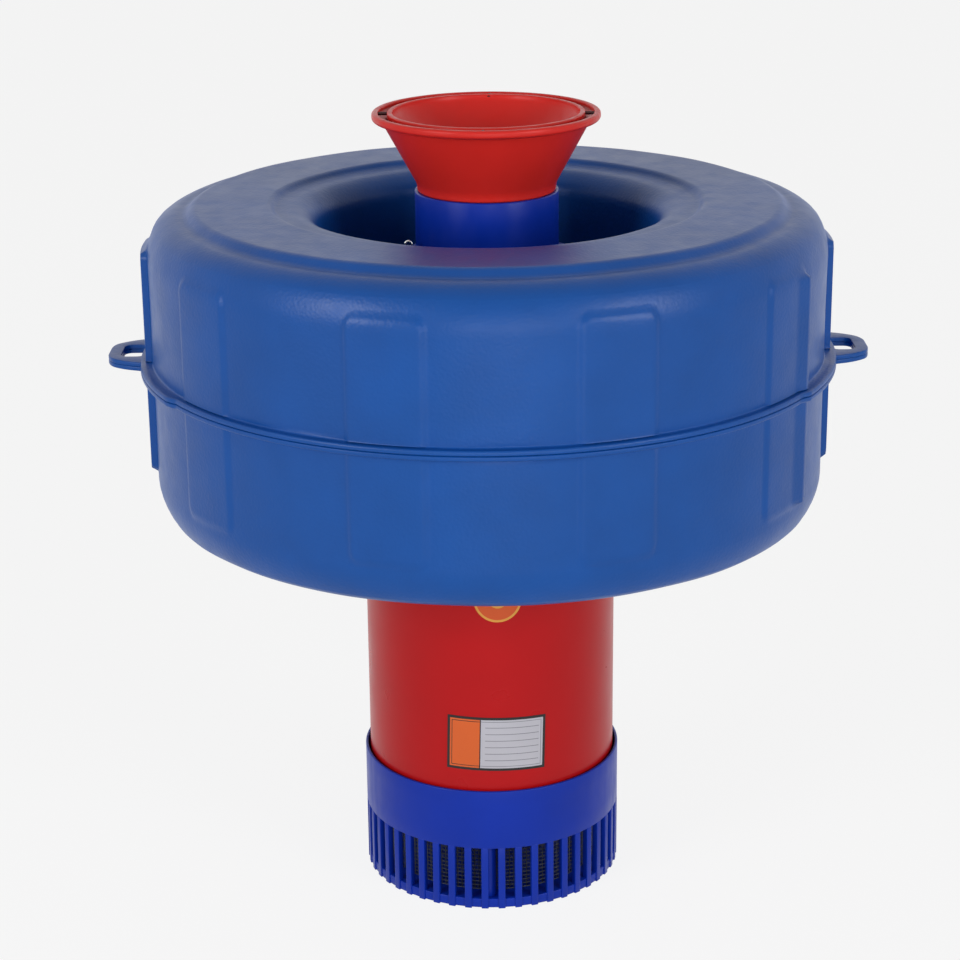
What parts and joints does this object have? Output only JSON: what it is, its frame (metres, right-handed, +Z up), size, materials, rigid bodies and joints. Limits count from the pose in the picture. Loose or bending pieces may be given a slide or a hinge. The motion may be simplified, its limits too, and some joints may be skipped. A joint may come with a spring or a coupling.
{
  "type": "floating pond aerator",
  "caption": "Floating pond aerator: blue ring float round a red submersible pump, slotted suction strainer below, flared spray horn with inner cone above.",
  "frame": {"origin": "centre of the strainer's lowest edge, on the surface that the aerator stands on", "axes": "+Z up along the pump shaft towards the spray horn, -Y towards the front, where the plate on the casing tube is, +X through the right mooring lug"},
  "size_m": [0.678, 0.6108, 0.714],
  "materials": {
    "float_blue": "moulded polyethylene with a fine leather grain, satin",
    "tube_red": "smooth red enamel on steel tube",
    "horn_red": "moulded red plastic, satin gloss",
    "royal_blue": "moulded royal blue plastic, satin gloss",
    "stainless": "stainless steel, bright",
    "shaft_steel": "turned and laminated steel",
    "cast_grey": "grey cast iron, painted",
    "can_steel": "drawn stainless steel tube",
    "copper": "enamelled copper wire, varnished",
    "black_rubber": "black nitrile rubber, matt",
    "black_nylon": "black nylon, satin",
    "carbon": "carbon graphite, dark grey",
    "ceramic": "white alumina, lapped face"
  },
  "bodies": {
    "pump": {"float_upper_shell": "float_blue", "float_lower_shell": "float_blue", "casing_tube": "tube_red", "spray_horn": "horn_red", "inner_cone": "horn_red", "outlet_pipe": "royal_blue", "strainer": "royal_blue", "discharge_head": "royal_blue", "spacer_screws": "stainless", "strainer_screws": "stainless", "float_mount_bolts": "stainless", "float_mount_nuts": "stainless", "tie_rods": "stainless", "tie_rod_nuts": "stainless", "cable_eye": "stainless", "inlet_screen": "stainless", "stator_core": "shaft_steel", "diffuser_casing": "cast_grey", "suction_cover": "cast_grey", "lower_end_bell": "cast_grey", "upper_end_cap": "cast_grey", "motor_can": "can_steel", "windings": "copper", "head_seal": "black_rubber", "gland_seal": "black_rubber", "gland_body": "black_nylon", "gland_nut": "black_nylon", "bearing_bushes": "carbon", "seal_seat": "ceramic"},
    "rotor": {"shaft": "shaft_steel", "rotor_core": "shaft_steel", "impeller": "cast_grey", "impeller_key": "stainless", "impeller_nut": "stainless", "seal_bellows": "black_rubber", "seal_ring": "carbon"}
  },
  "joints": [
    {"name": "rotor_spin", "type": "hinge", "parent": "pump", "child": "rotor", "pos_m": [0, 0, 0.2], "axis": [0, 0, 1], "continuous": true}
  ]
}
